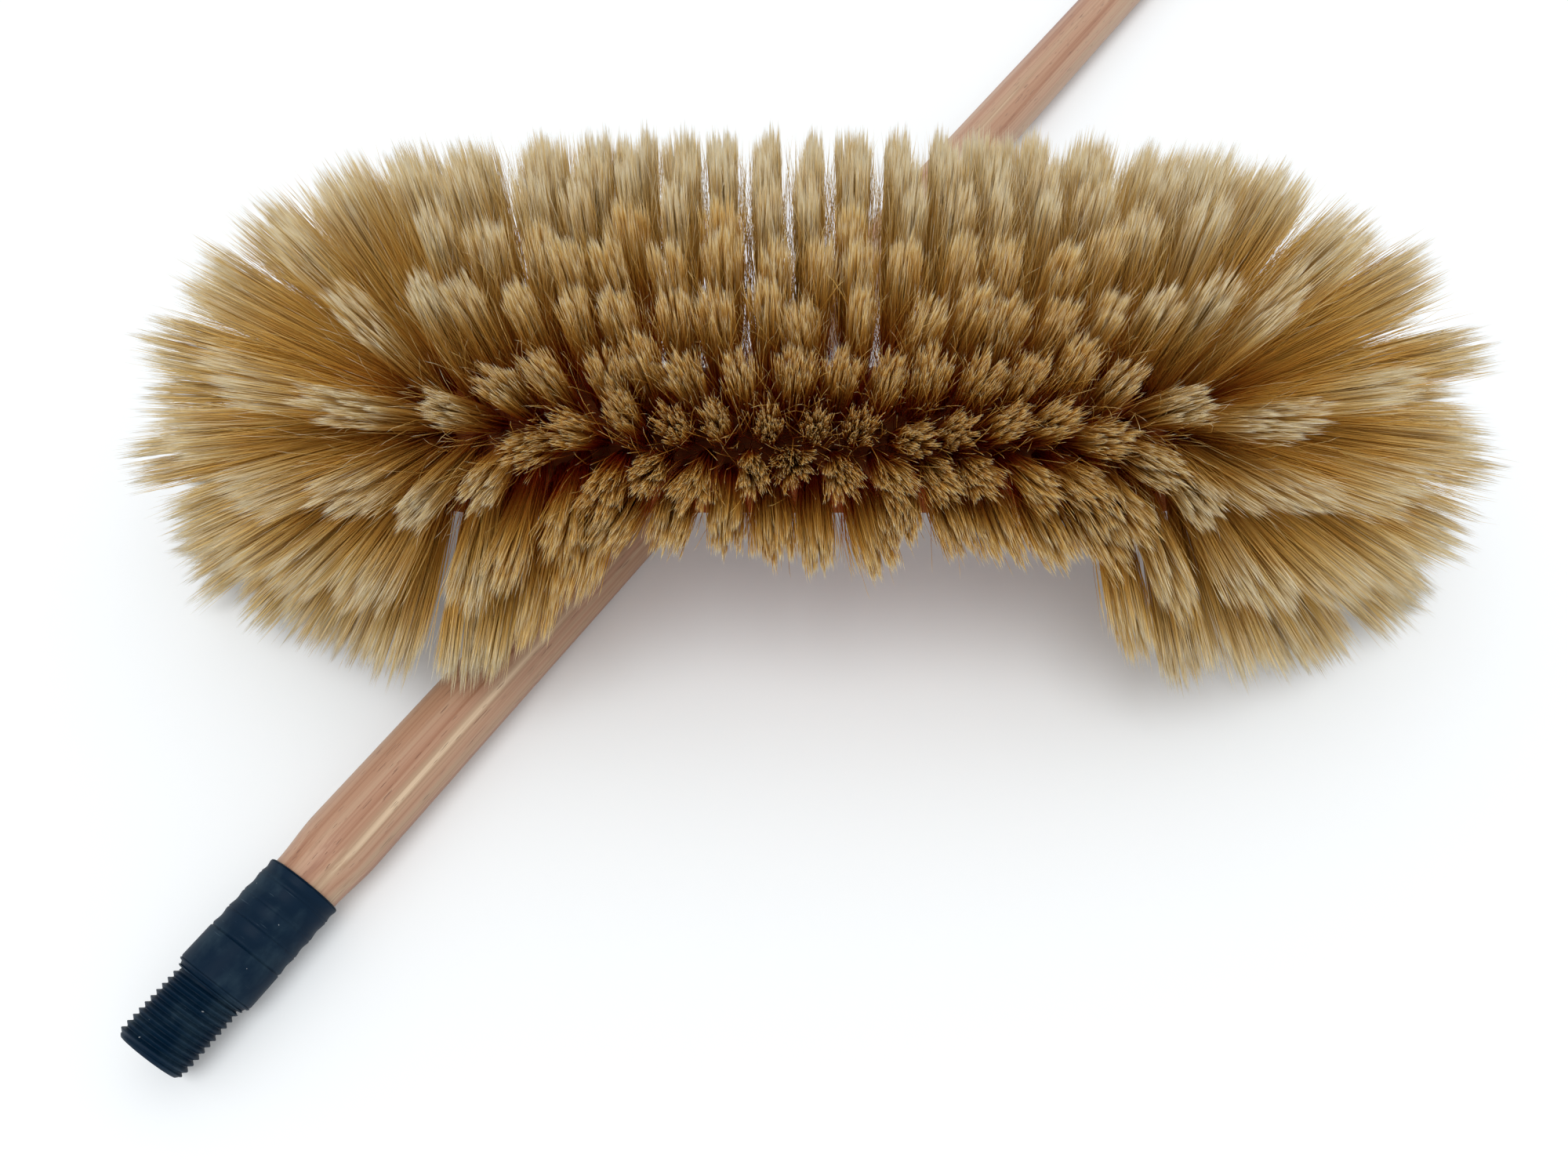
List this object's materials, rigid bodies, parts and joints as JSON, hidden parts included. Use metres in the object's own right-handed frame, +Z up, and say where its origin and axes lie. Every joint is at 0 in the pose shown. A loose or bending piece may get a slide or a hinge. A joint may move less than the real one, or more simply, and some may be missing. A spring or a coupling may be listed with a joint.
{
  "type": "indoor broom",
  "caption": "Indoor broom with a long wooden block of pale natural bristles, lying on its back across its loose wooden handle with a dark threaded plastic ferrule.",
  "frame": {"origin": "on the floor, under the middle of the whole broom's box: the middle of the handle's length and of the head", "axes": "+X along the handle from its threaded tip to its round end, +Y across it, +Z up out of the bristles"},
  "size_m": [1.25, 0.4095, 0.1348],
  "materials": {
    "handle_wood": "smooth turned pinkish-tan wood with straight reddish grain",
    "navy_plastic": "semi-gloss dark navy moulded plastic",
    "block_wood": "sanded mid-brown wood",
    "natural_hair": "dense natural hair, dark brown at the root, golden tan body, pale flagged tips"
  },
  "bodies": {
    "stick": {"handle": "handle_wood", "ferrule": "navy_plastic"},
    "head": {"block": "block_wood", "tufts_middle_row": "natural_hair", "tufts_near_row_1": "natural_hair", "tufts_far_row_1": "natural_hair", "tufts_left_ring_1": "natural_hair", "tufts_right_ring_1": "natural_hair", "tufts_near_row_2": "natural_hair", "tufts_far_row_2": "natural_hair", "tufts_left_ring_2": "natural_hair", "tufts_right_ring_2": "natural_hair", "tufts_near_row_3": "natural_hair", "tufts_far_row_3": "natural_hair", "tufts_left_ring_3": "natural_hair", "tufts_right_ring_3": "natural_hair", "tufts_near_row_4": "natural_hair", "tufts_far_row_4": "natural_hair", "tufts_left_ring_4": "natural_hair", "tufts_right_ring_4": "natural_hair", "tufts_near_row_5": "natural_hair", "tufts_far_row_5": "natural_hair", "tufts_left_ring_5": "natural_hair", "tufts_right_ring_5": "natural_hair"}
  },
  "joints": [
    {"name": "head_lift", "type": "slide", "parent": "stick", "child": "head", "axis": [0, 0, 1], "range_m": [0, 0.15]}
  ]
}
